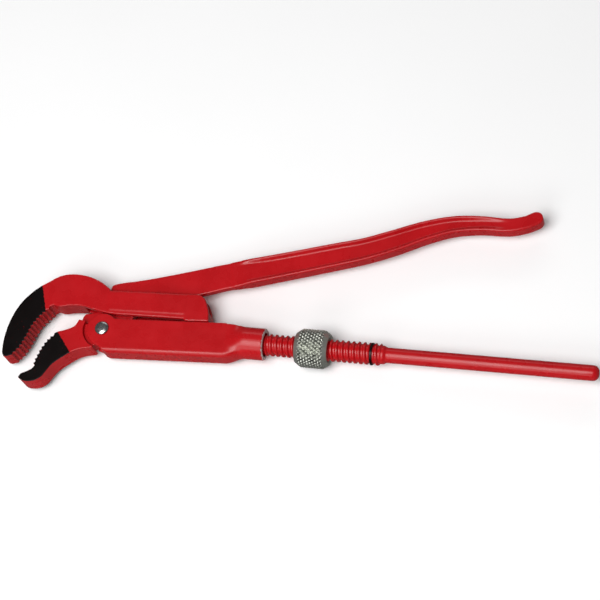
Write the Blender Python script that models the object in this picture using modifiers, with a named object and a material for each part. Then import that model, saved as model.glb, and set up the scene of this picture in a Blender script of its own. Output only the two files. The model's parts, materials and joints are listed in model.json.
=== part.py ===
"""Swedish-pattern pipe wrench, 1 1/2 inch size, with S-shaped jaws.

The drawing is in millimetres on the plane the tool lies in.  Its origin is the rivet
axis, X runs along the threaded spindle towards the handle end, Y towards the lever
handle, and Z is the thickness.  The finished tool is moved so that the middle of its
footprint, at the level it rests on, is the origin of the scene.
"""
import math

import bmesh
import bpy
from mathutils import Matrix, Vector

NAME = "pipe_wrench"
MM = 0.001
WELD = 0.00001

# Thicknesses, as half widths about the middle plane
JAW_HALF = 8.0
PANEL_HALF = 8.3
CHEEK_HALF = 8.5
CHEEK_INSIDE = 5.8
SHANK_HALF = 5.4
HUB_HALF = 5.2
SLOT_HALF = 4.0
BLADE_HALF = 2.7
FLANGE_HALF = 5.2
WEB_HALF = 2.5

# Jaw teeth
TOOTH_PITCH = 3.3
TOOTH_DEPTH = 1.6

# Rivet
RIVET_RADIUS = 4.0
RIVET_HOLE_RADIUS = 4.3
RIVET_HEAD_RADIUS = 5.1
RIVET_HEAD_HEIGHT = 1.7
RIVET_HEAD_RIM = 0.2
SEAT_GAP = 0.3

# Housing: a U channel that rises a little towards the ferrule
BOSS_RADIUS = 11.5
HOUSING_SLOPE = math.radians(2.6)
HOUSING_TOP = 7.9
HOUSING_BOTTOM = -17.5
HOUSING_SHEET = 2.7
HOUSING_BEND = 3.0
HOUSING_EDGE = 0.6
HOUSING_OPEN_TOP = 24.0
TAPER_START = 91.0
TAPER_LAP = 1.0
TAPER_TUCK = 0.985
TAPER_STEPS = 8
SECTION_SPACING = 1.4
FERRULE_START = 106.5
FERRULE_END = 120.4
FERRULE_RADIUS = 11.4
FERRULE_CHAMFER = 0.8
FERRULE_BORE = 8.5
BORE_START = 99.0
BORE_OVERRUN = 4.0

# Spindle
SPINDLE_Y = 1.3
SHANK_NECK = 5.6
THREAD_START = 120.0
THREAD_END = 206.0
THREAD_RADIUS = 7.8
THREAD_CORE = 6.6
THREAD_PITCH = 4.0
THREAD_ROOT_WIDTH = 2.9
THREAD_CREST_WIDTH = 1.3
THREAD_STEPS = 20
# Plain core before the first turn and after the last, and the overlap with the shank
THREAD_LEAD = 2.0
THREAD_RUN_OUT = 1.0
SPINDLE_LAP = 0.6
ROD_NECK = 2.0
# Reach of the cutting shapes past the faces they cut
SHEET_MARGIN = 1.0
BAR_RISE = 5.0
BAR_BEFORE = 10.0
BAR_AFTER = 20.0
BORE_LAP = 0.5
HOLE_REACH = 20.0
ROD_RADIUS = 5.4
ROD_END = 355.8
ROD_ROUND = 4.0
ROD_END_RADIUS = 1.6

# Stop ring and nut
RING_X = 196.9
RING_WIDTH = 1.7
RING_INNER = 6.9
RING_OUTER = 7.9
RING_CHAMFER = 0.3
RING_GAP = 0.35
NUT_X = 143.4
NUT_LENGTH = 23.7
NUT_RADIUS = 13.75
NUT_END_RADIUS = 11.0
NUT_CHAMFER_LENGTH = 4.2
NUT_BORE = 8.2
NUT_COUNTERSINK = 1.4

# Hub of the lever, and the round recess in its jaw that clears the boss
HUB_RADIUS = 11.3
NECK_RADIUS = 10.8
RECESS_RADIUS = 14.5
RECESS_LAP = 0.6

# Handle of the lever: x, y and half height at stations along it
HANDLE_STATIONS = (
    (80.4, 49.3, 10.1),
    (120.5, 60.7, 9.4),
    (160.6, 72.6, 9.0),
    (180.7, 78.7, 8.6),
    (200.7, 86.7, 8.3),
    (220.8, 95.7, 7.5),
    (240.9, 102.3, 6.5),
    (260.9, 104.7, 5.7),
    (279.9, 104.7, 5.2),
    (291.9, 107.6, 5.0),
    (299.4, 111.5, 5.0),
)
STATION_STEPS = 24
BLADE_LAP = 0.05
BLADE_INSET = 0.4
FLANGE_FIRST = 0.015
FLANGE_FULL = 0.05
FLANGE_STEPS = 80
FLANGE_EDGE = 0.7
FLANGE_LAND = 1.7
FLANGE_SLOPE = 1.8
WEB_FALL = 0.10
WEB_RISE_FIRST = 0.62
WEB_RISE_LAST = 0.84
TIP_STEPS = 6

# Slot in the leg that the lever passes through
SLOT_LEFT = -17.0
SLOT_BOTTOM = 9.0
SLOT_WEB_LEFT = 60.5
SLOT_WEB_TOP = 20.0
SLOT_RIGHT = 82.0
SLOT_ABOVE = 50.0

RED = (0.72, 0.02, 0.025)
ZINC = (0.52, 0.52, 0.47)
STEEL = (0.62, 0.62, 0.62)
DARK_STEEL = (0.08, 0.07, 0.07)


# ---------------------------------------------------------------- outlines

def smooth(points, steps=6):
    """Points of a Catmull-Rom curve through the given points."""
    first = 2 * Vector(points[0]) - Vector(points[1])
    last = 2 * Vector(points[-1]) - Vector(points[-2])
    knots = [first] + [Vector(p) for p in points] + [last]
    line = []
    for a, b, c, d in zip(knots, knots[1:], knots[2:], knots[3:]):
        for step in range(steps):
            t = step / steps
            line.append(tuple(0.5 * (2 * b + (c - a) * t + (2 * a - 5 * b + 4 * c - d) * t ** 2
                                     + (3 * b - a - 3 * c + d) * t ** 3)))
    line.append(tuple(points[-1]))
    return line


def arc(radius, start, end, steps, centre=(0.0, 0.0)):
    """Points on a circle from start to end, in degrees."""
    line = []
    for step in range(steps + 1):
        angle = math.radians(start + (end - start) * step / steps)
        line.append((centre[0] + radius * math.cos(angle), centre[1] + radius * math.sin(angle)))
    return line


def resample(line, spacing):
    """Evenly spaced points along a line."""
    lengths = [0.0]
    for (x0, y0), (x1, y1) in zip(line, line[1:]):
        lengths.append(lengths[-1] + math.hypot(x1 - x0, y1 - y0))
    count = max(2, round(lengths[-1] / spacing))
    result = []
    segment = 0
    for index in range(count + 1):
        target = lengths[-1] * index / count
        while segment < len(line) - 2 and lengths[segment + 1] < target:
            segment += 1
        share = (target - lengths[segment]) / (lengths[segment + 1] - lengths[segment])
        (x0, y0), (x1, y1) = line[segment], line[segment + 1]
        result.append((x0 + (x1 - x0) * share, y0 + (y1 - y0) * share))
    return result


def toothed(points):
    """Teeth along a smooth line: roots on the line, crests to its right."""
    line = resample(smooth(points), TOOTH_PITCH / 2)
    teeth = []
    for index in range(1, len(line) - 1):
        (x0, y0), (x1, y1) = line[index - 1], line[index + 1]
        length = math.hypot(x1 - x0, y1 - y0)
        depth = TOOTH_DEPTH if index % 2 else 0.0
        teeth.append((line[index][0] + (y1 - y0) / length * depth,
                      line[index][1] - (x1 - x0) / length * depth))
    return teeth


def ease(value):
    """Smooth step from 0 to 1."""
    held = min(max(value, 0.0), 1.0)
    return held * held * (3 - 2 * held)


def handle_stations(first, last, steps):
    """Points on the handle's middle line with its half height, the way across it and the share."""
    dense = smooth(HANDLE_STATIONS, STATION_STEPS)
    stations = []
    for step in range(steps + 1):
        share = first + (last - first) * step / steps
        index = round(share * (len(dense) - 1))
        before = dense[max(index - 1, 0)]
        after = dense[min(index + 1, len(dense) - 1)]
        length = math.hypot(after[0] - before[0], after[1] - before[1])
        across = ((before[1] - after[1]) / length, (after[0] - before[0]) / length)
        stations.append((dense[index], across, share))
    return stations


def hook_outline():
    """Side view of the leg's head: hook jaw, throat and the plate the lever passes through."""
    back = smooth([(-1.0, 31.6), (-9.3, 36.3), (-20.2, 39.7), (-31.6, 40.1), (-39.2, 38.3), (-44.0, 35.7)])
    crown = smooth([(-47.7, 32.8), (-54.3, 28.1), (-60.0, 22.4), (-64.8, 16.1), (-68.5, 8.6),
                    (-71.2, -0.4), (-72.5, -9.4), (-72.6, -17.4), (-71.8, -24.4), (-70.0, -27.6)])
    bite = toothed([(-65.7, -26.2), (-60.6, -19.9), (-57.5, -12.5), (-55.4, -5.5), (-53.0, 0.8),
                    (-49.8, 6.0), (-46.1, 10.6), (-42.3, 14.8)])
    throat = smooth([(-40.7, 15.2), (-35.3, 14.3), (-27.9, 15.8), (-17.9, 16.1), (-8.9, 14.2),
                     (0.0, 12.5), (8.5, 12.0)])
    shoulder = [(59.0, 12.9), (59.7, 11.4), (77.3, 12.3)]
    end = smooth([(77.3, 12.3), (76.2, 19.9), (72.1, 28.7), (67.8, 32.2)], 4)[1:]
    return back + crown + [(-67.8, -27.7)] + bite + throat + shoulder + end + [(-0.1, 29.9)]


def lower_jaw_outline():
    """Side view of the thick part of the lever: its jaw, with the recess around the boss."""
    recess = arc(RECESS_RADIUS, 160, 252, 14)
    heel = smooth([(-5.6, -15.0), (-8.5, -15.7), (-12.6, -16.5), (-18.2, -19.0), (-24.7, -23.9),
                   (-28.8, -27.4), (-32.2, -30.9), (-34.7, -35.1), (-37.5, -40.1), (-41.2, -43.3),
                   (-45.9, -44.9), (-51.4, -44.8), (-55.4, -42.4)], 5)
    lip = smooth([(-53.9, -39.4), (-50.2, -37.5), (-46.5, -35.2)], 4)
    bite = toothed([(-46.1, -34.2), (-46.2, -29.4), (-44.8, -23.6), (-42.7, -17.4), (-39.7, -11.6),
                    (-34.2, -5.5)])
    top = smooth([(-33.4, -5.4), (-27.7, -3.3), (-21.5, 0.0), (-18.8, 5.5)], 5)
    return recess + heel + lip + bite + top


def hub_outline():
    """Side view of the lever's hub: round between the cheeks, and wider where it joins the jaw."""
    joint = arc(RECESS_RADIUS + RECESS_LAP, 168, 244, 10)
    return joint + arc(HUB_RADIUS, 254, 518, 30)


def blade_outline():
    """Side view of the lever's flat blade, from the hub to the first part of the handle."""
    upper, lower = [], []
    for (x, y, half), across, share in handle_stations(0.0, BLADE_LAP, 6):
        reach = half - BLADE_INSET
        upper.append((x + across[0] * reach, y + across[1] * reach))
        lower.append((x - across[0] * reach, y - across[1] * reach))
    top = smooth([(-1.7, 32.7), (-0.7, 35.8), (3.0, 37.5), (9.2, 39.1), (26.8, 43.4), (50.4, 50.2),
                  upper[0]], 4)[:-1]
    under = smooth([lower[0], (66.9, 34.3), (50.2, 29.2), (34.2, 26.3), (25.2, 19.8), (17.6, 8.9),
                    (NECK_RADIUS, 0.0)], 5)[1:-1]
    neck = arc(NECK_RADIUS, 0, -180, 16)
    shoulder = smooth([(-17.6, 3.0), (-18.4, 8.0), (-16.8, 11.6), (-13.0, 12.6), (-9.4, 13.6),
                       (-6.2, 16.0), (-4.1, 20.5), (-3.2, 26.0)], 4)
    return lower + upper[::-1] + top[::-1] + shoulder[::-1] + neck[::-1] + under[::-1]


def sloped(x, y):
    """A point of the housing, whose sides rise at HOUSING_SLOPE from the rivet."""
    cosine, sine = math.cos(HOUSING_SLOPE), math.sin(HOUSING_SLOPE)
    return (x * cosine - y * sine, x * sine + y * cosine)


def housing_outline():
    """Side view of the channel: round boss at the rivet, straight top and bottom."""
    end = TAPER_START + TAPER_LAP
    meeting = math.degrees(math.asin(HOUSING_TOP / BOSS_RADIUS))
    boss = arc(BOSS_RADIUS, meeting, 215, 26)
    corner = [(-4.8, -11.8), (-0.8, -13.2), (1.5, -15.6), (5.5, HOUSING_BOTTOM)]
    return [sloped(*p) for p in boss + corner + [(end, HOUSING_BOTTOM), (end, HOUSING_TOP)]]


def channel_bends():
    """The channel's two rounded lower corners, seen along it as (across, up)."""
    side = CHEEK_HALF - HOUSING_BEND
    level = HOUSING_BOTTOM + HOUSING_BEND
    return arc(HOUSING_BEND, 180, 270, 6, (-side, level)) + arc(HOUSING_BEND, 270, 360, 6, (side, level))


# ---------------------------------------------------------------- modelling

def new_collection(name):
    collection = bpy.data.collections.new(name)
    bpy.context.scene.collection.children.link(collection)
    return collection


def plate(name, outline, bottom, top):
    """A closed outline given the thickness between two levels."""
    curve = bpy.data.curves.new(name, "CURVE")
    curve.dimensions = "2D"
    curve.fill_mode = "BOTH"
    curve.extrude = (top - bottom) / 2 * MM
    line = curve.splines.new("POLY")
    line.points.add(len(outline) - 1)
    for point, (x, y) in zip(line.points, outline):
        point.co = (x * MM, y * MM, 0.0, 1.0)
    line.use_cyclic_u = True
    holder = bpy.data.objects.new(name, curve)
    holder.location.z = (top + bottom) / 2 * MM
    return as_mesh(holder)


def turned(name, profile, steps, x=0.0, y=SPINDLE_Y, closed=False):
    """A profile of (distance, radius) turned about a line along X through height y."""
    mesh = bpy.data.meshes.new(name)
    points = [(radius * MM, 0.0, distance * MM) for distance, radius in profile[::-1]]
    edges = [(i, i + 1) for i in range(len(points) - 1)]
    if closed:
        edges.append((len(points) - 1, 0))
    mesh.from_pydata(points, edges, [])
    holder = bpy.data.objects.new(name, mesh)
    screw = holder.modifiers.new("turn", "SCREW")
    screw.steps = steps
    screw.render_steps = steps
    screw.use_merge_vertices = True
    screw.merge_threshold = WELD
    holder.rotation_euler = (0.0, math.radians(90), 0.0)
    holder.location = (x * MM, y * MM, 0.0)
    return as_mesh(holder)


def as_mesh(holder):
    """The evaluated shape of a helper as a welded mesh in scene coordinates."""
    bpy.context.scene.collection.objects.link(holder)
    bpy.context.view_layer.update()
    depsgraph = bpy.context.evaluated_depsgraph_get()
    mesh = bpy.data.meshes.new_from_object(holder.evaluated_get(depsgraph))
    mesh.transform(holder.matrix_world)
    shape = bmesh.new()
    shape.from_mesh(mesh)
    solid = welded(holder.name + "_solid", shape)
    bpy.data.objects.remove(holder)
    return solid


def welded(name, shape):
    """A closed body as an object, with its doubled points merged and its normals outwards."""
    bmesh.ops.remove_doubles(shape, verts=shape.verts, dist=WELD)
    bmesh.ops.recalc_face_normals(shape, faces=shape.faces)
    mesh = bpy.data.meshes.new(name)
    shape.to_mesh(mesh)
    shape.free()
    return bpy.data.objects.new(name, mesh)


def loft(name, rings):
    """A closed body through rings that all have the same number of points."""
    shape = bmesh.new()
    made = [[shape.verts.new(Vector(point) * MM) for point in ring] for ring in rings]
    for before, after in zip(made, made[1:]):
        for i in range(len(before)):
            j = (i + 1) % len(before)
            shape.faces.new((before[i], before[j], after[j], after[i]))
    shape.faces.new(made[0])
    shape.faces.new(made[-1][::-1])
    return welded(name, shape)


def combine(target, tool, operation, cutters):
    """Boolean that keeps its tool as a hidden wire object."""
    tool.name = target.name.replace("_solid", "") + "_" + operation.lower() + "_tool"
    tool.hide_render = True
    tool.display_type = "WIRE"
    cutters.objects.link(tool)
    boolean = target.modifiers.new(tool.name, "BOOLEAN")
    boolean.operation = operation
    boolean.solver = "EXACT"
    boolean.object = tool


def thread_rows(start, end, column):
    """(x, radius) along one side of the screw thread between two faces of core radius."""
    profile = ((-THREAD_ROOT_WIDTH / 2, THREAD_CORE), (-THREAD_CREST_WIDTH / 2, THREAD_RADIUS),
               (THREAD_CREST_WIDTH / 2, THREAD_RADIUS), (THREAD_ROOT_WIDTH / 2, THREAD_CORE))
    rows = [(start, THREAD_CORE)]
    for turn in range(math.floor(start / THREAD_PITCH) - 1, math.ceil(end / THREAD_PITCH) + 1):
        middle = THREAD_PITCH * (turn + column / THREAD_STEPS)
        for along, radius in profile:
            x = middle + along
            if start < x < end:
                rows.append((x, radius))
            else:
                rows.append((min(max(x, start), end), THREAD_CORE))
    rows.append((end, THREAD_CORE))
    return rows


def spindle():
    """Threaded spindle with its ring groove, and the round handle rod, as one closed body."""
    groove_start = RING_X - RING_GAP
    groove_end = RING_X + RING_WIDTH + RING_GAP
    rod = [(THREAD_END + ROD_NECK, ROD_RADIUS), (ROD_END - ROD_ROUND, ROD_RADIUS),
           (ROD_END - ROD_ROUND / 3, ROD_RADIUS - ROD_ROUND / 3), (ROD_END, ROD_END_RADIUS)]
    shape = bmesh.new()
    columns = []
    for column in range(THREAD_STEPS + 1):
        angle = 2 * math.pi * column / THREAD_STEPS
        rows = [(THREAD_START - SPINDLE_LAP, THREAD_CORE)] \
            + thread_rows(THREAD_START + THREAD_LEAD, groove_start, column) \
            + thread_rows(groove_end, THREAD_END - THREAD_RUN_OUT, column) + rod
        side = []
        for x, radius in rows:
            point = (x, SPINDLE_Y + radius * math.cos(angle), radius * math.sin(angle))
            side.append(shape.verts.new(Vector(point) * MM))
        columns.append(side)
    for left, right in zip(columns, columns[1:]):
        for i in range(len(left) - 1):
            shape.faces.new((left[i], left[i + 1], right[i + 1], right[i]))
    for row in (0, -1):
        shape.faces.new([side[row] for side in columns[:-1]])
    return welded("spindle", shape)


def channel_bar():
    """A bar with the channel's width and its rounded lower bends, along the housing's slope."""
    top = BOSS_RADIUS + BAR_RISE
    section = channel_bends() + [(CHEEK_HALF, top), (-CHEEK_HALF, top)]
    bar = plate("channel_bar", section, -BOSS_RADIUS - BAR_BEFORE, TAPER_START + BAR_AFTER)
    stand = Matrix(((0, 0, 1, 0), (0, 1, 0, 0), (-1, 0, 0, 0), (0, 0, 0, 1)))
    bar.data.transform(Matrix.Rotation(HOUSING_SLOPE, 4, "Z") @ stand)
    return bar


def taper():
    """The housing's end, lofted from the channel's section to the round ferrule."""
    side = CHEEK_HALF - HOUSING_EDGE
    level = HOUSING_TOP - HOUSING_EDGE
    edges = arc(HOUSING_EDGE, 0, 90, 2, (side, level)) + arc(HOUSING_EDGE, 90, 180, 2, (-side, level))
    outline = channel_bends() + edges
    section = resample(outline + outline[:1], SECTION_SPACING)[:-1]
    middle = (HOUSING_TOP + HOUSING_BOTTOM) / 2
    first = TAPER_START + TAPER_LAP
    stops = [(TAPER_START - TAPER_LAP, FERRULE_RADIUS)]
    for step in range(TAPER_STEPS + 1):
        stops.append((first + (FERRULE_START - first) * step / TAPER_STEPS, FERRULE_RADIUS))
    stops += [(FERRULE_END - FERRULE_CHAMFER, FERRULE_RADIUS), (FERRULE_END, FERRULE_RADIUS - FERRULE_CHAMFER)]
    rings = []
    for x, radius in stops:
        roundness = ease((x - first) / (FERRULE_START - first))
        tuck = TAPER_TUCK if x <= first else 1.0
        ring = []
        for across, up in section:
            length = math.hypot(across, up - middle)
            flat = (across * tuck, sloped(x, middle + (up - middle) * tuck)[1])
            turned_to = (across / length * radius, SPINDLE_Y + (up - middle) / length * radius)
            ring.append((x, flat[1] + (turned_to[1] - flat[1]) * roundness,
                         flat[0] + (turned_to[0] - flat[0]) * roundness))
        rings.append(ring)
    return loft("taper", rings)


def handle_ring(x, y, across, half, thick, web):
    """The handle's H section at one station: two flanges with a recessed web between them."""
    edge = min(FLANGE_EDGE, half / 5)
    land = min(FLANGE_LAND, half / 3)
    slope = min(FLANGE_SLOPE, half / 3)
    rise = [(-half, thick - edge), (edge - half, thick), (land - half, thick), (land + slope - half, web)]
    front = rise + [(-reach, level) for reach, level in rise[::-1]]
    back = [(reach, -level) for reach, level in front[::-1]]
    return [(x + across[0] * reach, y + across[1] * reach, level) for reach, level in front + back]


def handle():
    """The lever's handle: an H section that grows from the blade, and ends in a solid round tip."""
    rings = []
    for (x, y, half), across, share in handle_stations(FLANGE_FIRST, 1.0, FLANGE_STEPS):
        grown = ease((share - FLANGE_FIRST) / (FLANGE_FULL - FLANGE_FIRST))
        thick = BLADE_HALF + BLADE_INSET + (FLANGE_HALF - BLADE_HALF - BLADE_INSET) * grown
        rise = ease((share - WEB_RISE_FIRST) / (WEB_RISE_LAST - WEB_RISE_FIRST)) + ease(1 - share / WEB_FALL)
        web = thick + (min(WEB_HALF, thick) - thick) * (1 - rise)
        rings.append(handle_ring(x, y, across, half, thick, web))
    for step in range(1, TIP_STEPS):
        angle = math.radians(90 * step / TIP_STEPS)
        along = half * math.sin(angle)
        rings.append(handle_ring(x + across[1] * along, y - across[0] * along, across,
                                 half * math.cos(angle), thick, thick))
    return loft("handle", rings)


def pin(name, radius, bottom, top, steps=32):
    """A round bar across the tool on the rivet axis."""
    return plate(name, arc(radius, 0, 360, steps)[:-1], bottom, top)


# ---------------------------------------------------------------- sub-parts

def make_hook_jaw_leg(cutters):
    leg = plate("hook_jaw_leg", hook_outline(), -JAW_HALF, JAW_HALF)
    panel = [(-0.2, 28.4), (57.9, 30.5), (58.7, 16.4), (1.8, 15.0)]
    combine(leg, plate("panel", panel, -PANEL_HALF, PANEL_HALF), "UNION", cutters)
    neck_low = SPINDLE_Y - SHANK_NECK
    neck_high = SPINDLE_Y + SHANK_NECK
    shank = [(61.5, -10.2), (90.0, neck_low), (THREAD_START + 1, neck_low), (THREAD_START + 1, neck_high),
             (90.0, neck_high), (79.5, 11.0), (72.0, 16.4), (61.5, 16.4)]
    combine(leg, plate("shank", shank, -SHANK_HALF, SHANK_HALF), "UNION", cutters)
    slot = [(SLOT_LEFT, SLOT_BOTTOM), (SLOT_WEB_LEFT, SLOT_BOTTOM), (SLOT_WEB_LEFT, SLOT_WEB_TOP),
            (SLOT_RIGHT, SLOT_WEB_TOP), (SLOT_RIGHT, SLOT_ABOVE), (SLOT_LEFT, SLOT_ABOVE)]
    combine(leg, plate("slot", slot, -SLOT_HALF, SLOT_HALF), "DIFFERENCE", cutters)
    combine(leg, spindle(), "UNION", cutters)
    return leg


def make_lever_handle(cutters):
    lever = plate("lever_handle", blade_outline(), -BLADE_HALF, BLADE_HALF)
    combine(lever, plate("hub", hub_outline(), -HUB_HALF, HUB_HALF), "UNION", cutters)
    combine(lever, plate("jaw", lower_jaw_outline(), -JAW_HALF, JAW_HALF), "UNION", cutters)
    combine(lever, handle(), "UNION", cutters)
    combine(lever, pin("bore", RIVET_HOLE_RADIUS, -JAW_HALF, JAW_HALF), "DIFFERENCE", cutters)
    return lever


def make_slide_housing(cutters):
    housing = plate("slide_housing", housing_outline(), -CHEEK_HALF - SHEET_MARGIN, CHEEK_HALF + SHEET_MARGIN)
    combine(housing, channel_bar(), "INTERSECT", cutters)
    combine(housing, taper(), "UNION", cutters)
    left = -BOSS_RADIUS - 5
    floor = HOUSING_BOTTOM + HOUSING_SHEET
    inside = [sloped(left, floor), sloped(TAPER_START, floor), (BORE_START, SPINDLE_Y - FERRULE_BORE),
              (BORE_START, HOUSING_OPEN_TOP), (left, HOUSING_OPEN_TOP)]
    combine(housing, plate("inside", inside, -CHEEK_INSIDE, CHEEK_INSIDE), "DIFFERENCE", cutters)
    length = FERRULE_END - BORE_START + BORE_OVERRUN
    profile = [(0.0, 0.0), (0.0, FERRULE_BORE), (length, FERRULE_BORE), (length, 0.0)]
    combine(housing, turned("bore", profile, 40, BORE_START - BORE_LAP), "DIFFERENCE", cutters)
    combine(housing, pin("rivet_hole", RIVET_HOLE_RADIUS, -HOLE_REACH, HOLE_REACH), "DIFFERENCE", cutters)
    return housing


def make_pivot_rivet():
    """Shank with a domed head on each side, turned and then stood across the tool."""
    seat = CHEEK_HALF + SEAT_GAP
    dome = []
    for step in range(6):
        angle = math.radians(90 * step / 5)
        rise = RIVET_HEAD_RIM + (RIVET_HEAD_HEIGHT - RIVET_HEAD_RIM) * math.sin(angle)
        dome.append((seat + rise, RIVET_HEAD_RADIUS * math.cos(angle)))
    side = [(seat, RIVET_RADIUS), (seat, RIVET_HEAD_RADIUS)] + dome
    side[-1] = (side[-1][0], 0.0)
    profile = [(-distance, radius) for distance, radius in side[::-1]] + side
    rivet = turned("pivot_rivet", profile, 32, 0.0, 0.0)
    rivet.data.transform(Matrix.Rotation(math.radians(-90), 4, "Y"))
    return rivet


def make_adjusting_nut():
    far = NUT_LENGTH
    sink = NUT_COUNTERSINK
    profile = [(sink, NUT_BORE), (0.0, NUT_BORE + sink), (0.0, NUT_END_RADIUS),
               (NUT_CHAMFER_LENGTH, NUT_RADIUS), (far - NUT_CHAMFER_LENGTH, NUT_RADIUS),
               (far, NUT_END_RADIUS), (far, NUT_BORE + sink), (far - sink, NUT_BORE)]
    return turned("adjusting_nut", profile, 48, NUT_X, closed=True)


def make_stop_ring():
    chamfer = RING_CHAMFER
    profile = [(0.0, RING_INNER), (0.0, RING_OUTER - chamfer), (chamfer, RING_OUTER),
               (RING_WIDTH - chamfer, RING_OUTER), (RING_WIDTH, RING_OUTER - chamfer),
               (RING_WIDTH, RING_INNER)]
    return turned("stop_ring", profile, 40, RING_X, closed=True)


# ---------------------------------------------------------------- materials and assembly

def material(name, colour, roughness, metallic):
    made = bpy.data.materials.new(name)
    made.use_nodes = True
    shader = made.node_tree.nodes["Principled BSDF"]
    shader.inputs["Base Color"].default_value = (*colour, 1.0)
    shader.inputs["Roughness"].default_value = roughness
    shader.inputs["Metallic"].default_value = metallic
    return made


def axis_empty(name, parent, x=0.0, y=0.0):
    empty = bpy.data.objects.new(name, None)
    bpy.context.scene.collection.objects.link(empty)
    empty.parent = parent
    empty.location = (x * MM, y * MM, 0.0)
    return empty


def place(part, name, parent, collection, finish):
    """Name a part, give it its material and hang it on its axis without moving it."""
    part.name = name
    part.data.name = name
    collection.objects.link(part)
    part.parent = parent
    part.location = -parent.location
    part.data.materials.clear()
    part.data.materials.append(finish)
    part.data.shade_smooth()
    part.data.set_sharp_from_angle(angle=math.radians(35))


def centre_footprint(parts, frame):
    """Move the whole tool so that the middle of its resting footprint is the origin."""
    bpy.context.view_layer.update()
    corners = [part.matrix_world @ Vector(corner) for part in parts for corner in part.bound_box]
    low = Vector([min(corner[i] for corner in corners) for i in range(3)])
    high = Vector([max(corner[i] for corner in corners) for i in range(3)])
    frame.location = (-(low.x + high.x) / 2, -(low.y + high.y) / 2, -low.z)
    bpy.context.view_layer.update()


def build():
    for old in list(bpy.data.objects):
        bpy.data.objects.remove(old)
    parts = new_collection(NAME)
    cutters = new_collection(NAME + "_cutters")
    frame = axis_empty("wrench_frame", None)
    spindle_axis = axis_empty("spindle_axis", frame, THREAD_START, SPINDLE_Y)
    pivot_axis = axis_empty("pivot_axis", frame)
    nut_axis = axis_empty("nut_axis", frame, NUT_X, SPINDLE_Y)

    leg = make_hook_jaw_leg(cutters)
    lever = make_lever_handle(cutters)
    housing = make_slide_housing(cutters)
    rivet = make_pivot_rivet()
    nut = make_adjusting_nut()
    ring = make_stop_ring()

    place(leg, "hook_jaw_leg", spindle_axis, parts, material("leg_red", RED, 0.35, 0.0))
    place(lever, "lever_handle", pivot_axis, parts, material("lever_red", RED, 0.35, 0.0))
    place(housing, "slide_housing", pivot_axis, parts, material("housing_red", RED, 0.35, 0.0))
    place(rivet, "pivot_rivet", pivot_axis, parts, material("rivet_steel", STEEL, 0.25, 1.0))
    place(nut, "adjusting_nut", nut_axis, parts, material("nut_zinc", ZINC, 0.4, 1.0))
    place(ring, "stop_ring", spindle_axis, parts, material("ring_steel", DARK_STEEL, 0.5, 1.0))
    bpy.context.view_layer.update()
    for tool in cutters.objects:
        tool.parent = frame
    centre_footprint(list(parts.objects), frame)


build()
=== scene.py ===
"""Looks of the Swedish-pattern pipe wrench: red enamelled forgings with black-dipped
jaws, a pressed housing, a screw spindle, a zinc-plated knurled nut and a bright rivet.

Lengths are millimetres in the tool's own drawing frame, whose origin is the rivet axis.
"""
import json
import math

import bmesh
import bpy
from mathutils import Matrix, Vector


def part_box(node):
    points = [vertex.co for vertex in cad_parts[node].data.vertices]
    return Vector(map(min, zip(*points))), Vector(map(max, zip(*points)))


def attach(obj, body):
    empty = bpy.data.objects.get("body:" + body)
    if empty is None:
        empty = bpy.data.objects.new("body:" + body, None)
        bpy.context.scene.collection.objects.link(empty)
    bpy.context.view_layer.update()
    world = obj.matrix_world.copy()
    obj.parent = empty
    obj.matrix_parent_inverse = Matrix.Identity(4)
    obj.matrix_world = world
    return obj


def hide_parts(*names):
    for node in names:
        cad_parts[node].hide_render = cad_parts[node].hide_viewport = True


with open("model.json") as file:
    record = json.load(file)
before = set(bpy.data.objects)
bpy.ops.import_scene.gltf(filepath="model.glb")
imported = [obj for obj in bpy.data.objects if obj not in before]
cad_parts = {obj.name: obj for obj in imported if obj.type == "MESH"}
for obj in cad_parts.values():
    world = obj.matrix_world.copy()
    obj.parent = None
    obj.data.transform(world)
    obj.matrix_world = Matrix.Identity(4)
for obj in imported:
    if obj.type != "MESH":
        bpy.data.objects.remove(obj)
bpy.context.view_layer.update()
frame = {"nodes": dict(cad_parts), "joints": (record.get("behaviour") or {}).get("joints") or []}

MM = 0.001
JOINTS = {joint["name"]: joint for joint in frame["joints"]}
PIVOT = Vector(JOINTS["lever_pivot"]["pos_m"])
SPINDLE = Vector(JOINTS["nut_spin"]["pos_m"]) - PIVOT
SPINDLE_Y = SPINDLE.y / MM

# Camera, at the photograph's angle
CAMERA_TARGET = (142.8, 32.3, 12.7)
CAMERA_AZIMUTH = 35.12
CAMERA_ELEVATION = 64.16
CAMERA_ROLL = -27.74
CAMERA_DISTANCE = 1413.6
CAMERA_LENS = 120.45
CAMERA_SENSOR = 36.0
CAMERA_REACH = 10.0

# Studio, in metres and watts: name, place, size and power of each light, aimed at the origin
FLOOR_HALF = 3.0
FLOOR_ROUGHNESS = 0.9
FLOOR_SHADES = ((0.93, 0.93, 0.93), (0.96, 0.96, 0.96))
LIGHTS = (("key", (-0.25, -0.56, 1.48), (1.0, 1.0), 25.0),
          ("front", (-0.3, -1.5, 1.0), (1.0, 0.6), 6.0),
          ("rim", (-0.1, 1.5, 0.9), (1.4, 0.3), 3.0))
WORLD_STRENGTH = 0.17

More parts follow.
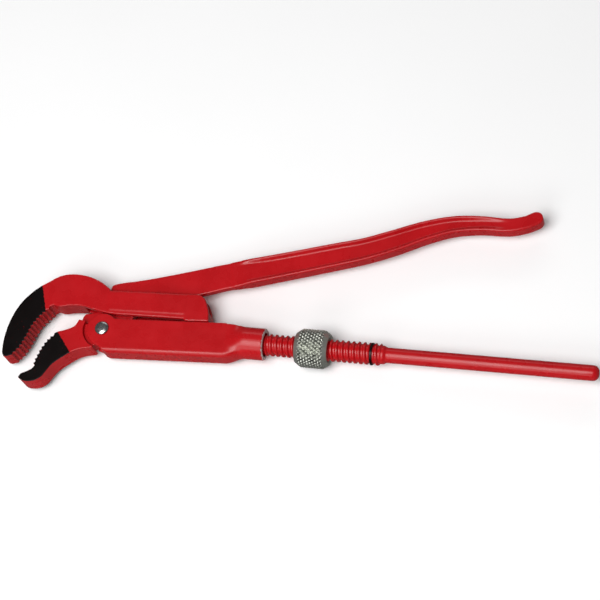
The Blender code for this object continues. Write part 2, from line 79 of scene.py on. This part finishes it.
# Spindle: the widths of the thread's crest and flank are shares of its pitch
THREAD_START = 120.0
SPINDLE_LAP = 0.6
THREAD_END = 206.0
THREAD_PITCH = 4.0
THREAD_RADIUS = 7.8
THREAD_CORE = 6.5
THREAD_CREST = 0.13
THREAD_FLANK = 0.22
THREAD_FADE_IN = 2.0
THREAD_FADE_OUT = 1.2
THREAD_RUN_OUT = 1.0
GROOVE_GAP = 0.25
GROOVE_FADE = 0.4
ROWS_PER_TURN = 20
SPINDLE_COLUMNS = 72
NECK_LENGTH = 2.5
NECK_ROWS = 5
ROD_START = 6.0
ROD_ROWS = 24
ROD_RADIUS = 5.4
ROD_ROUND = 4.2
ROD_ROUND_ROWS = 6

# Nut
NUT_BAND_RADIUS = 13.72
NUT_END_RADIUS = 11.0
NUT_CHAMFER = 4.2
NUT_BORE = 8.3
KNURL_DEPTH = 1.0
KNURL_COUNT = 30
KNURL_AXIAL = 4.0
KNURL_STEEPNESS = 1.25
NUT_SINK = 1.4
NUT_ROWS = 110
COLUMNS_PER_KNURL = 16
# How high on the knurl the plain chamfers and the bore count, for the zinc's painted shade, which darkens the
# knurl's grooves and, a little, the bore
CHAMFER_RISE = 0.85
BORE_RISE = 0.6

# Rivet
SHANK_RADIUS = 3.98
HEAD_RADIUS = 5.08
HEAD_HEIGHT = 1.65
HEAD_SEAT = 0.05
HEAD_CHAMFER = 0.15
HEAD_RIM = 0.18
HEAD_STEPS = 10
HEAD_TIP = 0.01
RIVET_COLUMNS = 64

# Voxel size and rounding passes of the forged and pressed pieces
WELD = 0.002
SMOOTHING = 0.5
FORGING_VOXEL = 0.40
FORGING_PASSES = 2
HOUSING_VOXEL = 0.45
HOUSING_PASSES = 2

# Past these places the leg and the lever have no teeth, and are rounded further
PLATE_START = -10.0
GRIP_START = 12.0
SOFT_PASSES = 9

# Length of the ferrule's worn rim
RIM_WEAR = 1.3

# Edges of the black dip on each jaw: two points, with the black on the left of the line
HOOK_DIP = ((-45.4, 9.4), (-53.3, 32.0))
LOWER_DIP = ((-20.6, -19.8), (-32.9, -5.6))

ENAMEL_ROUGHNESS = 0.28
ENAMEL_SPECULAR = 0.32
DIP_SPECULAR = 0.15
ZINC_ROUGHNESS = 0.36
STEEL_ROUGHNESS = 0.22
RING_ROUGHNESS = 0.34
RED = (0.45, 0.0035, 0.007)
RED_DEEP = (0.40, 0.0028, 0.0055)
RED_PALE = (0.52, 0.012, 0.017)
BLACK = (0.0025, 0.0012, 0.0012)
ZINC_LIGHT = (0.64, 0.655, 0.585)
# Zinc darkened as painted shade, for the knurl's grooves and the bore
ZINC_GROOVE_SHADE = (0.03, 0.033, 0.027)
STEEL = (0.42, 0.42, 0.42)
RING_STEEL = (0.03, 0.018, 0.018)
WORN_METAL = (0.45, 0.36, 0.35)


def place(x, y, z=0.0):
    """A point of the drawing, in scene coordinates."""
    return PIVOT + Vector((x, y, z)) * MM


# ---------------------------------------------------------------- camera, floor and light

def add_camera():
    azimuth = math.radians(CAMERA_AZIMUTH)
    elevation = math.radians(CAMERA_ELEVATION)
    direction = Vector((math.sin(azimuth) * math.cos(elevation),
                        -math.cos(azimuth) * math.cos(elevation), math.sin(elevation)))
    data = bpy.data.cameras.new("camera")
    data.lens = CAMERA_LENS
    data.sensor_width = CAMERA_SENSOR
    data.dof.use_dof = False
    data.clip_end = CAMERA_REACH
    camera = bpy.data.objects.new("camera", data)
    bpy.context.scene.collection.objects.link(camera)
    camera.location = place(*CAMERA_TARGET) + direction * CAMERA_DISTANCE * MM
    roll = Matrix.Rotation(math.radians(CAMERA_ROLL), 4, "Z")
    camera.rotation_euler = (direction.to_track_quat("Z", "Y").to_matrix().to_4x4() @ roll).to_euler()
    bpy.context.scene.camera = camera


def add_area_light(name, location, size, power):
    """An area light aimed at the scene's origin."""
    data = bpy.data.lights.new(name, "AREA")
    data.shape = "RECTANGLE"
    data.size, data.size_y = size
    data.energy = power
    light = bpy.data.objects.new(name, data)
    bpy.context.scene.collection.objects.link(light)
    light.location = location
    light.rotation_euler = Vector(location).to_track_quat("Z", "Y").to_euler()


def add_studio():
    floor_mesh = bpy.data.meshes.new("floor")
    half = FLOOR_HALF
    floor_mesh.from_pydata([(-half, -half, 0), (half, -half, 0), (half, half, 0), (-half, half, 0)],
                           [], [(0, 1, 2, 3)])
    floor = bpy.data.objects.new("floor", floor_mesh)
    bpy.context.scene.collection.objects.link(floor)
    floor_mesh.materials.append(floor_material())
    floor.visible_glossy = False
    for light in LIGHTS:
        add_area_light(*light)
    world = bpy.data.worlds.new("studio")
    world.use_nodes = True
    background = world.node_tree.nodes["Background"]
    background.inputs["Color"].default_value = (1.0, 1.0, 1.0, 1.0)
    background.inputs["Strength"].default_value = WORLD_STRENGTH
    bpy.context.scene.world = world
    bpy.context.scene.view_settings.view_transform = "Standard"


# ---------------------------------------------------------------- node helpers

def new_material(name, roughness, metallic=0.0, specular=0.5):
    made = bpy.data.materials.new(name)
    made.use_nodes = True
    shader = made.node_tree.nodes["Principled BSDF"]
    shader.inputs["Roughness"].default_value = roughness
    shader.inputs["Metallic"].default_value = metallic
    shader.inputs["Specular IOR Level"].default_value = specular
    return made, made.node_tree, shader


def noise(tree, scale, detail=3.0, roughness=0.5):
    """Noise in object space, with its scale in features per metre."""
    space = tree.nodes.new("ShaderNodeTexCoord")
    made = tree.nodes.new("ShaderNodeTexNoise")
    made.inputs["Scale"].default_value = scale
    made.inputs["Detail"].default_value = detail
    made.inputs["Roughness"].default_value = roughness
    tree.links.new(space.outputs["Object"], made.inputs["Vector"])
    return made.outputs["Fac"]


def spread(tree, value, low, high, to_low=0.0, to_high=1.0):
    """Maps low..high of a value to another range, held at its ends."""
    made = tree.nodes.new("ShaderNodeMapRange")
    made.inputs["From Min"].default_value = low
    made.inputs["From Max"].default_value = high
    made.inputs["To Min"].default_value = to_low
    made.inputs["To Max"].default_value = to_high
    tree.links.new(value, made.inputs["Value"])
    return made.outputs["Result"]


def maths(tree, operation, first, second):
    """A maths node whose inputs are sockets or numbers."""
    made = tree.nodes.new("ShaderNodeMath")
    made.operation = operation
    for socket, value in zip(made.inputs, (first, second)):
        if isinstance(value, (int, float)):
            socket.default_value = value
        else:
            tree.links.new(value, socket)
    return made.outputs[0]


def blend_colours(tree, factor, first, second):
    """A colour between two colours, each a socket or a triple."""
    made = tree.nodes.new("ShaderNodeMix")
    made.data_type = "RGBA"
    tree.links.new(factor, made.inputs["Factor"])
    for socket, colour in ((made.inputs[6], first), (made.inputs[7], second)):
        if isinstance(colour, tuple):
            socket.default_value = (*colour, 1.0)
        else:
            tree.links.new(colour, socket)
    return made.outputs[2]


def stored(tree, name):
    """A number that the mesh keeps for each vertex."""
    made = tree.nodes.new("ShaderNodeAttribute")
    made.attribute_name = name
    return made.outputs["Fac"]


def bump(tree, shader, heights):
    """Chains bumps of (height socket, strength, distance in mm) into the shader."""
    normal = None
    for height, strength, distance in heights:
        made = tree.nodes.new("ShaderNodeBump")
        made.inputs["Strength"].default_value = strength
        made.inputs["Distance"].default_value = distance * MM
        tree.links.new(height, made.inputs["Height"])
        if normal:
            tree.links.new(normal, made.inputs["Normal"])
        normal = made.outputs["Normal"]
    tree.links.new(normal, shader.inputs["Normal"])


# ---------------------------------------------------------------- materials

def floor_material():
    made, tree, shader = new_material("floor", FLOOR_ROUGHNESS)
    colour = blend_colours(tree, noise(tree, 9.0), *FLOOR_SHADES)
    tree.links.new(colour, shader.inputs["Base Color"])
    return made


def enamel_colour(tree):
    """Signal red with the slow drift and pale dust specks of sprayed enamel."""
    drift = spread(tree, noise(tree, 45.0, 4.0), 0.35, 0.65)
    red = blend_colours(tree, drift, RED_DEEP, RED)
    specks = spread(tree, noise(tree, 900.0, 1.0), 0.66, 0.76, 0.0, 0.4)
    return blend_colours(tree, specks, red, RED_PALE)


def enamel_gloss(tree):
    """Roughness that drifts slowly over the paint."""
    return spread(tree, noise(tree, 90.0, 2.0), 0.3, 0.7, 0.24, 0.32)


def enamel_bumps(tree):
    """Orange peel over the soft unevenness of a forging."""
    return [(noise(tree, 130.0, 1.0), 0.10, 0.10), (noise(tree, 700.0, 1.0), 0.02, 0.02)]


def enamel_material():
    made, tree, shader = new_material("red_enamel", ENAMEL_ROUGHNESS, specular=ENAMEL_SPECULAR)
    tree.links.new(enamel_colour(tree), shader.inputs["Base Color"])
    tree.links.new(enamel_gloss(tree), shader.inputs["Roughness"])
    bump(tree, shader, enamel_bumps(tree))
    return made


def dipped_enamel_material():
    """Red enamel whose flat jaw sides are black where the dip attribute is positive."""
    made, tree, shader = new_material("dipped_enamel", ENAMEL_ROUGHNESS, specular=ENAMEL_SPECULAR)
    edge = maths(tree, "ADD", stored(tree, "dip"),
                 spread(tree, noise(tree, 500.0, 3.0), 0.3, 0.7, -0.35, 0.35))
    inside = spread(tree, edge, -0.12, 0.12)
    geometry = tree.nodes.new("ShaderNodeNewGeometry")
    split = tree.nodes.new("ShaderNodeSeparateXYZ")
    tree.links.new(geometry.outputs["Normal"], split.inputs[0])
    flat = spread(tree, maths(tree, "ABSOLUTE", split.outputs["Z"], 0.0), 0.50, 0.68)
    black = maths(tree, "MULTIPLY", inside, flat)
    worn = spread(tree, noise(tree, 700.0, 4.0, 0.7), 0.66, 0.74, 1.0, 0.55)
    cover = maths(tree, "MULTIPLY", black, worn)
    tree.links.new(blend_colours(tree, cover, enamel_colour(tree), BLACK), shader.inputs["Base Color"])
    tree.links.new(spread(tree, black, 0.0, 1.0, ENAMEL_SPECULAR, DIP_SPECULAR),
                   shader.inputs["Specular IOR Level"])
    duller = maths(tree, "MULTIPLY", black, 0.04)
    tree.links.new(maths(tree, "ADD", enamel_gloss(tree), duller), shader.inputs["Roughness"])
    bump(tree, shader, enamel_bumps(tree))
    return made


def housing_material():
    """Red enamel, rubbed through to dull metal where the wear attribute is high."""
    made, tree, shader = new_material("housing_enamel", ENAMEL_ROUGHNESS, specular=ENAMEL_SPECULAR)
    patchy = maths(tree, "ADD", stored(tree, "wear"),
                   spread(tree, noise(tree, 650.0, 3.0), 0.3, 0.7, -0.45, 0.25))
    worn = spread(tree, patchy, 0.45, 0.60)
    tree.links.new(blend_colours(tree, worn, enamel_colour(tree), WORN_METAL), shader.inputs["Base Color"])
    tree.links.new(enamel_gloss(tree), shader.inputs["Roughness"])
    bump(tree, shader, enamel_bumps(tree))
    return made


def zinc_material():
    """Zinc plate with painted shade: brightest on the knurl's points, darkened in its grooves and a little in
    the bore.
    """
    made, tree, shader = new_material("zinc_plate", ZINC_ROUGHNESS, metallic=1.0)
    height = maths(tree, "ADD", stored(tree, "rise"),
                   spread(tree, noise(tree, 380.0, 4.0), 0.3, 0.7, -0.22, 0.22))
    # Painted shade: the zinc goes dark where rise is low, in the knurl's grooves and the bore
    tree.links.new(blend_colours(tree, spread(tree, height, 0.0, 0.6), ZINC_GROOVE_SHADE, ZINC_LIGHT),
                   shader.inputs["Base Color"])
    tree.links.new(spread(tree, noise(tree, 520.0, 3.0), 0.3, 0.7, 0.26, 0.46), shader.inputs["Roughness"])
    bump(tree, shader, [(noise(tree, 1100.0, 2.0), 0.25, 0.05)])
    return made


def steel_material(name, colour, roughness):
    """Bare steel with darker stains and small dents."""
    made, tree, shader = new_material(name, roughness, metallic=1.0)
    stain = spread(tree, noise(tree, 420.0, 4.0), 0.35, 0.65)
    darker = tuple(channel * 0.55 for channel in colour)
    tree.links.new(blend_colours(tree, stain, darker, colour), shader.inputs["Base Color"])
    tree.links.new(spread(tree, noise(tree, 700.0, 3.0), 0.3, 0.7, roughness - 0.06, roughness + 0.1),
                   shader.inputs["Roughness"])
    bump(tree, shader, [(noise(tree, 300.0, 2.0), 0.5, 0.25), (noise(tree, 1500.0, 2.0), 0.2, 0.04)])
    return made


# ---------------------------------------------------------------- shapes

def new_piece(name, mesh, body, nodes, material):
    piece = bpy.data.objects.new(name, mesh)
    bpy.context.scene.collection.objects.link(piece)
    mesh.materials.clear()
    mesh.materials.append(material)
    mesh.shade_smooth()
    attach(piece, body)
    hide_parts(*nodes)


def welded_copy(node):
    """The CAD node's surface as a closed bmesh."""
    shape = bmesh.new()
    shape.from_mesh(frame["nodes"][node].data)
    bmesh.ops.remove_doubles(shape, verts=shape.verts, dist=WELD * MM)
    return shape


def rounded(name, shape, voxel, passes):
    """A closed shape remeshed finely and smoothed, so that its edges are round like a forging's."""
    mesh = bpy.data.meshes.new(name)
    shape.to_mesh(mesh)
    shape.free()
    holder = bpy.data.objects.new(name, mesh)
    bpy.context.scene.collection.objects.link(holder)
    remesh = holder.modifiers.new("fine", "REMESH")
    remesh.mode = "VOXEL"
    remesh.voxel_size = voxel * MM
    smooth = holder.modifiers.new("round", "SMOOTH")
    smooth.factor = SMOOTHING
    smooth.iterations = passes
    depsgraph = bpy.context.evaluated_depsgraph_get()
    result = bpy.data.meshes.new_from_object(holder.evaluated_get(depsgraph))
    bpy.data.objects.remove(holder)
    return result


def soften_right_of(mesh, x, passes):
    """Rounds the edges further past x of the drawing, where the forging has no teeth."""
    shape = bmesh.new()
    shape.from_mesh(mesh)
    limit = place(x, 0.0).x
    beyond = [vertex for vertex in shape.verts if vertex.co.x > limit]
    for _ in range(passes):
        bmesh.ops.smooth_vert(shape, verts=beyond, factor=SMOOTHING,
                              use_axis_x=True, use_axis_y=True, use_axis_z=True)
    shape.to_mesh(mesh)
    shape.free()


def store(mesh, name, values):
    """A number for each vertex, which a material reads."""
    attribute = mesh.attributes.new(name, "FLOAT", "POINT")
    attribute.data.foreach_set("value", values)


def dip_distance(mesh, line):
    """Millimetres that each vertex lies to the left of a line of the drawing."""
    (x0, y0), (x1, y1) = line
    length = math.hypot(x1 - x0, y1 - y0)
    across = Vector((-(y1 - y0) / length, (x1 - x0) / length))
    values = []
    for vertex in mesh.vertices:
        drawn = (vertex.co - PIVOT) / MM
        values.append((drawn.x - x0) * across.x + (drawn.y - y0) * across.y)
    return values


def keep_left_of(shape, x):
    """Cuts a closed shape off flat at x of the drawing."""
    cut = bmesh.ops.bisect_plane(shape, geom=shape.verts[:] + shape.edges[:] + shape.faces[:],
                                 plane_co=place(x, 0.0), plane_no=(1.0, 0.0, 0.0), clear_outer=True)
    edges = [item for item in cut["geom_cut"] if isinstance(item, bmesh.types.BMEdge)]
    bmesh.ops.edgenet_fill(shape, edges=edges)


def on_spindle(x, radius, angle):
    """A point round the spindle axis."""
    return place(x, SPINDLE_Y + radius * math.cos(angle), radius * math.sin(angle))


def turns(columns):
    """Equal angles round a full turn."""
    return [2 * math.pi * column / columns for column in range(columns)]


def stitch(shape, before, after):
    """A band of faces between two rings of points."""
    columns = len(before)
    for i in range(columns):
        j = (i + 1) % columns
        shape.faces.new((before[i], after[i], after[j], before[j]))


def lathe_grid(stations, columns, radius_at):
    """A surface round the spindle axis, open at both ends: one ring for each station along it."""
    shape = bmesh.new()
    rings = []
    for x in stations:
        rings.append([shape.verts.new(on_spindle(x, radius_at(x, angle), angle)) for angle in turns(columns)])
    for before, after in zip(rings, rings[1:]):
        stitch(shape, before, after)
    return shape, rings


def finished(name, shape):
    """A mesh of the closed shape, with its normals outwards."""
    bmesh.ops.recalc_face_normals(shape, faces=shape.faces)
    mesh = bpy.data.meshes.new(name)
    shape.to_mesh(mesh)
    shape.free()
    return mesh


def ease(value):
    """Smooth step from 0 to 1."""
    held = min(max(value, 0.0), 1.0)
    return held * held * (3 - 2 * held)


# ---------------------------------------------------------------- pieces

def add_leg_head(material):
    shape = welded_copy("hook_jaw_leg")
    keep_left_of(shape, THREAD_START)
    mesh = rounded("hook_jaw", shape, FORGING_VOXEL, FORGING_PASSES)
    soften_right_of(mesh, PLATE_START, SOFT_PASSES)
    store(mesh, "dip", dip_distance(mesh, HOOK_DIP))
    new_piece("hook_jaw", mesh, "hook_leg", ["hook_jaw_leg"], material)


def thread_height(x, angle, ring):
    """Height of the thread above its core, from 0 to 1, fading where it runs out."""
    phase = (x / THREAD_PITCH - angle / (2 * math.pi)) % 1.0
    from_crest = min(phase, 1 - phase)
    height = min(1.0, max(0.0, 1 - (from_crest - THREAD_CREST) / THREAD_FLANK))
    groove = max(ring[0] - x, x - ring[1])
    fade_out = ease((THREAD_END - THREAD_RUN_OUT - x) / THREAD_FADE_OUT)
    fade_in = ease((x - THREAD_START) / THREAD_FADE_IN)
    return height * fade_out * fade_in * ease((groove - GROOVE_GAP) / GROOVE_FADE)


def spindle_stations(end):
    """Places along the spindle: fine on the thread and its neck, coarse on the rod, fine at its round end."""
    first = THREAD_START - SPINDLE_LAP
    count = round((THREAD_END - THREAD_START) / THREAD_PITCH * ROWS_PER_TURN)
    rod_first = THREAD_END + ROD_START
    rod_last = end - ROD_ROUND
    stations = [first + (THREAD_END - first) * i / count for i in range(count + 1)]
    stations += [THREAD_END + NECK_LENGTH * i / NECK_ROWS for i in range(1, NECK_ROWS + 1)]
    stations += [rod_first + (rod_last - rod_first) * i / ROD_ROWS for i in range(ROD_ROWS + 1)]
    for i in range(1, ROD_ROUND_ROWS + 1):
        stations.append(end - ROD_ROUND * (1 - math.sin(math.pi / 2 * i / ROD_ROUND_ROWS)))
    return stations


def add_spindle(material):
    end = (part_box("hook_jaw_leg")[1].x - PIVOT.x) / MM
    stop = [(corner.x - PIVOT.x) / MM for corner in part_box("stop_ring")]

    def radius_at(x, angle):
        if x <= THREAD_END:
            return THREAD_CORE + (THREAD_RADIUS - THREAD_CORE) * thread_height(x, angle, stop)
        if x <= THREAD_END + NECK_LENGTH:
            return THREAD_CORE + (ROD_RADIUS - THREAD_CORE) * ease((x - THREAD_END) / NECK_LENGTH)
        past = max(0.0, x - (end - ROD_ROUND)) / ROD_ROUND
        return ROD_RADIUS - ROD_ROUND * (1 - math.sqrt(max(0.0, 1 - past * past)))

    shape, rings = lathe_grid(spindle_stations(end), SPINDLE_COLUMNS, radius_at)
    shape.faces.new(rings[0])
    shape.faces.new(rings[-1])
    new_piece("spindle", finished("spindle", shape), "hook_leg", ["hook_jaw_leg"], material)


def add_lever(material):
    mesh = rounded("lever", welded_copy("lever_handle"), FORGING_VOXEL, FORGING_PASSES)
    soften_right_of(mesh, GRIP_START, SOFT_PASSES)
    store(mesh, "dip", dip_distance(mesh, LOWER_DIP))
    new_piece("lever", mesh, "lever", ["lever_handle"], material)


def add_housing(material):
    """The pressed housing, with its paint rubbed through on the rim of the ferrule."""
    mesh = rounded("housing", welded_copy("slide_housing"), HOUSING_VOXEL, HOUSING_PASSES)
    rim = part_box("slide_housing")[1].x
    store(mesh, "wear", [max(0.0, 1 - (rim - vertex.co.x) / (RIM_WEAR * MM)) for vertex in mesh.vertices])
    new_piece("housing", mesh, "housing", ["slide_housing"], material)


def knurl_height(along, angle):
    """Height of the diamond knurl, from 0 in its grooves to 1 on its points."""
    turn = angle / (2 * math.pi) * KNURL_COUNT
    shift = along / KNURL_AXIAL
    peaks = [1 - abs(2 * (value % 1.0) - 1) for value in (turn + shift, turn - shift)]
    return min(1.0, KNURL_STEEPNESS * min(peaks))


def add_nut(material):
    low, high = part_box("adjusting_nut")
    start = (low.x - PIVOT.x) / MM
    length = (high.x - low.x) / MM
    columns = KNURL_COUNT * COLUMNS_PER_KNURL

    def surface_at(x, angle):
        """Radius of the nut's outside, and how high on the knurl it counts for the zinc's painted shade."""
        from_end = min(x - start, start + length - x)
        chamfer = min(1.0, from_end / NUT_CHAMFER)
        envelope = NUT_END_RADIUS + (NUT_BAND_RADIUS - NUT_END_RADIUS) * chamfer
        height = knurl_height(x - start, angle)
        knurled = NUT_BAND_RADIUS - KNURL_DEPTH * (1 - height)
        if knurled < envelope:
            return knurled, height
        return envelope, CHAMFER_RISE

    stations = [start + length * i / NUT_ROWS for i in range(NUT_ROWS + 1)]
    shape, rings = lathe_grid(stations, columns, lambda x, angle: surface_at(x, angle)[0])
    values = [surface_at(x, angle)[1] for x in stations for angle in turns(columns)]
    wide = NUT_BORE + NUT_SINK
    previous = rings[-1]
    for along, radius in ((length, wide), (length - NUT_SINK, NUT_BORE), (NUT_SINK, NUT_BORE), (0.0, wide)):
        ring = [shape.verts.new(on_spindle(start + along, radius, angle)) for angle in turns(columns)]
        # The bore counts part way up the knurl, so painted shade darkens it a little
        values += [BORE_RISE] * columns
        stitch(shape, previous, ring)
        previous = ring
    stitch(shape, previous, rings[0])
    mesh = finished("nut", shape)
    # rise carries the painted shade of the zinc: dark in the knurl's grooves, light on its points
    store(mesh, "rise", values)
    new_piece("knurled_nut", mesh, "nut", ["adjusting_nut"], material)


def rivet_side(seat):
    """(height, radius) from the middle of the shank to the top of one domed head."""
    rim = seat + HEAD_RIM
    side = [(0.0, SHANK_RADIUS), (seat - HEAD_SEAT, SHANK_RADIUS), (seat, HEAD_RADIUS - HEAD_CHAMFER),
            (rim, HEAD_RADIUS)]
    for step in range(1, HEAD_STEPS + 1):
        angle = math.pi / 2 * step / HEAD_STEPS
        rise = (HEAD_HEIGHT - HEAD_RIM) * math.sin(angle)
        side.append((rim + rise, HEAD_RADIUS * math.cos(angle) + HEAD_TIP))
    return side


def add_rivet(material):
    """A shank with a domed head on each side."""
    top = (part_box("pivot_rivet")[1].z - PIVOT.z) / MM
    half = rivet_side(top - HEAD_HEIGHT)
    shape = bmesh.new()
    rings = []
    for height, radius in [(-height, radius) for height, radius in half[:0:-1]] + half:
        rings.append([shape.verts.new(place(radius * math.cos(angle), radius * math.sin(angle), height))
                      for angle in turns(RIVET_COLUMNS)])
    for before, after in zip(rings, rings[1:]):
        stitch(shape, before, after)
    shape.faces.new(rings[0])
    shape.faces.new(rings[-1])
    new_piece("rivet", finished("rivet", shape), "housing", ["pivot_rivet"], material)


def dress_ring(material):
    """The stop ring is shown as its CAD shape, with a material of its own."""
    ring = frame["nodes"]["stop_ring"]
    ring.data.materials.clear()
    ring.data.materials.append(material)


add_camera()
add_studio()
enamel = enamel_material()
dipped = dipped_enamel_material()
add_leg_head(dipped)
add_spindle(enamel)
add_lever(dipped)
add_housing(housing_material())
add_nut(zinc_material())
add_rivet(steel_material("rivet_steel", STEEL, STEEL_ROUGHNESS))
dress_ring(steel_material("ring_steel", RING_STEEL, RING_ROUGHNESS))
